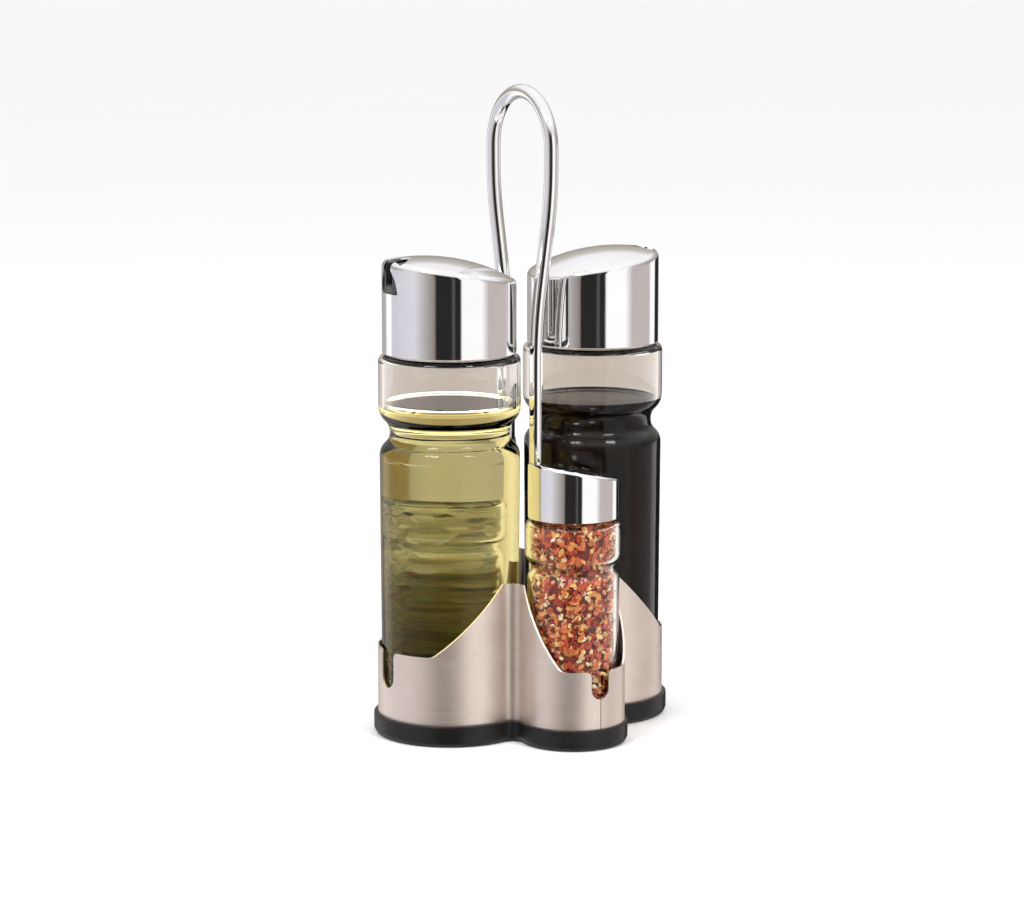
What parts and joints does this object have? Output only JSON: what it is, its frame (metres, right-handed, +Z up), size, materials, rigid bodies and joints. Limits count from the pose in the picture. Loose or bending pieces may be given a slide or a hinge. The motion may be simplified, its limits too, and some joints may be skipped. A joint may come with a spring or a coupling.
{
  "type": "cruet set",
  "caption": "Lobed steel and black stand with a tall wire loop handle, holding waisted glass bottles with slanted pouring caps and smaller shakers.",
  "frame": {"origin": "on the table, under the middle of the stand", "axes": "+Z up; the tall bottles stand on the X axis, the small shakers on the Y axis, the band's seam is at -Y"},
  "size_m": [0.1378, 0.1298, 0.2762],
  "materials": {
    "base_plastic": "satin black moulded plastic",
    "sleeve_steel": "vertical satin brushing, bright cut edges",
    "handle_steel": "mirror polished wire",
    "fastener_steel": "plain zinc",
    "foot_rubber": "matt",
    "clear_glass": "clear, glossy",
    "seal_rubber": "translucent white silicone",
    "pourer_plastic": "black, semi-gloss",
    "liner_plastic": "natural white",
    "cap_steel": "mirror polished stainless steel"
  },
  "bodies": {
    "stand": {"base_tray": "base_plastic", "sleeve_band": "sleeve_steel", "carry_handle": "handle_steel", "handle_washers": "fastener_steel", "handle_nuts": "fastener_steel", "foot_pads": "foot_rubber"},
    "oil_bottle": {"oil_bottle": "clear_glass"},
    "oil_seal": {"oil_seal_ring": "seal_rubber"},
    "oil_cap": {"oil_pourer": "pourer_plastic", "oil_cap": "cap_steel"},
    "vinegar_bottle": {"vinegar_bottle": "clear_glass"},
    "vinegar_seal": {"vinegar_seal_ring": "seal_rubber"},
    "vinegar_cap": {"vinegar_pourer": "pourer_plastic", "vinegar_cap": "cap_steel"},
    "front_shaker": {"front_shaker_jar": "clear_glass"},
    "front_shaker_seal": {"front_shaker_seal_ring": "seal_rubber"},
    "front_shaker_cap": {"front_shaker_liner": "liner_plastic", "front_shaker_cap": "cap_steel"},
    "rear_shaker": {"rear_shaker_jar": "clear_glass"},
    "rear_shaker_seal": {"rear_shaker_seal_ring": "seal_rubber"},
    "rear_shaker_cap": {"rear_shaker_liner": "liner_plastic", "rear_shaker_cap": "cap_steel"}
  },
  "joints": [
    {"name": "oil_bottle_lift", "type": "slide", "parent": "stand", "child": "oil_bottle", "axis": [0, 0, 1], "range_m": [0, 0.08]},
    {"name": "oil_cap_lift", "type": "slide", "parent": "oil_bottle", "child": "oil_seal", "axis": [0, 0, 1], "range_m": [0, 0.04]},
    {"name": "oil_cap_turn", "type": "hinge", "parent": "oil_seal", "child": "oil_cap", "pos_m": [-0.036, 0, 0.172], "axis": [0, 0, 1], "continuous": true},
    {"name": "vinegar_bottle_lift", "type": "slide", "parent": "stand", "child": "vinegar_bottle", "axis": [0, 0, 1], "range_m": [0, 0.08]},
    {"name": "vinegar_cap_lift", "type": "slide", "parent": "vinegar_bottle", "child": "vinegar_seal", "axis": [0, 0, 1], "range_m": [0, 0.04]},
    {"name": "vinegar_cap_turn", "type": "hinge", "parent": "vinegar_seal", "child": "vinegar_cap", "pos_m": [0.036, 0, 0.172], "axis": [0, 0, 1], "continuous": true},
    {"name": "front_shaker_lift", "type": "slide", "parent": "stand", "child": "front_shaker", "axis": [0, 0, 1], "range_m": [0, 0.067]},
    {"name": "front_shaker_cap_lift", "type": "slide", "parent": "front_shaker", "child": "front_shaker_seal", "axis": [0, 0, 1], "range_m": [0, 0.021]},
    {"name": "front_shaker_cap_turn", "type": "hinge", "parent": "front_shaker_seal", "child": "front_shaker_cap", "pos_m": [0, -0.0415, 0.102], "axis": [0, 0, 1], "continuous": true},
    {"name": "rear_shaker_lift", "type": "slide", "parent": "stand", "child": "rear_shaker", "axis": [0, 0, 1], "range_m": [0, 0.067]},
    {"name": "rear_shaker_cap_lift", "type": "slide", "parent": "rear_shaker", "child": "rear_shaker_seal", "axis": [0, 0, 1], "range_m": [0, 0.021]},
    {"name": "rear_shaker_cap_turn", "type": "hinge", "parent": "rear_shaker_seal", "child": "rear_shaker_cap", "pos_m": [0, 0.0415, 0.102], "axis": [0, 0, 1], "continuous": true}
  ]
}
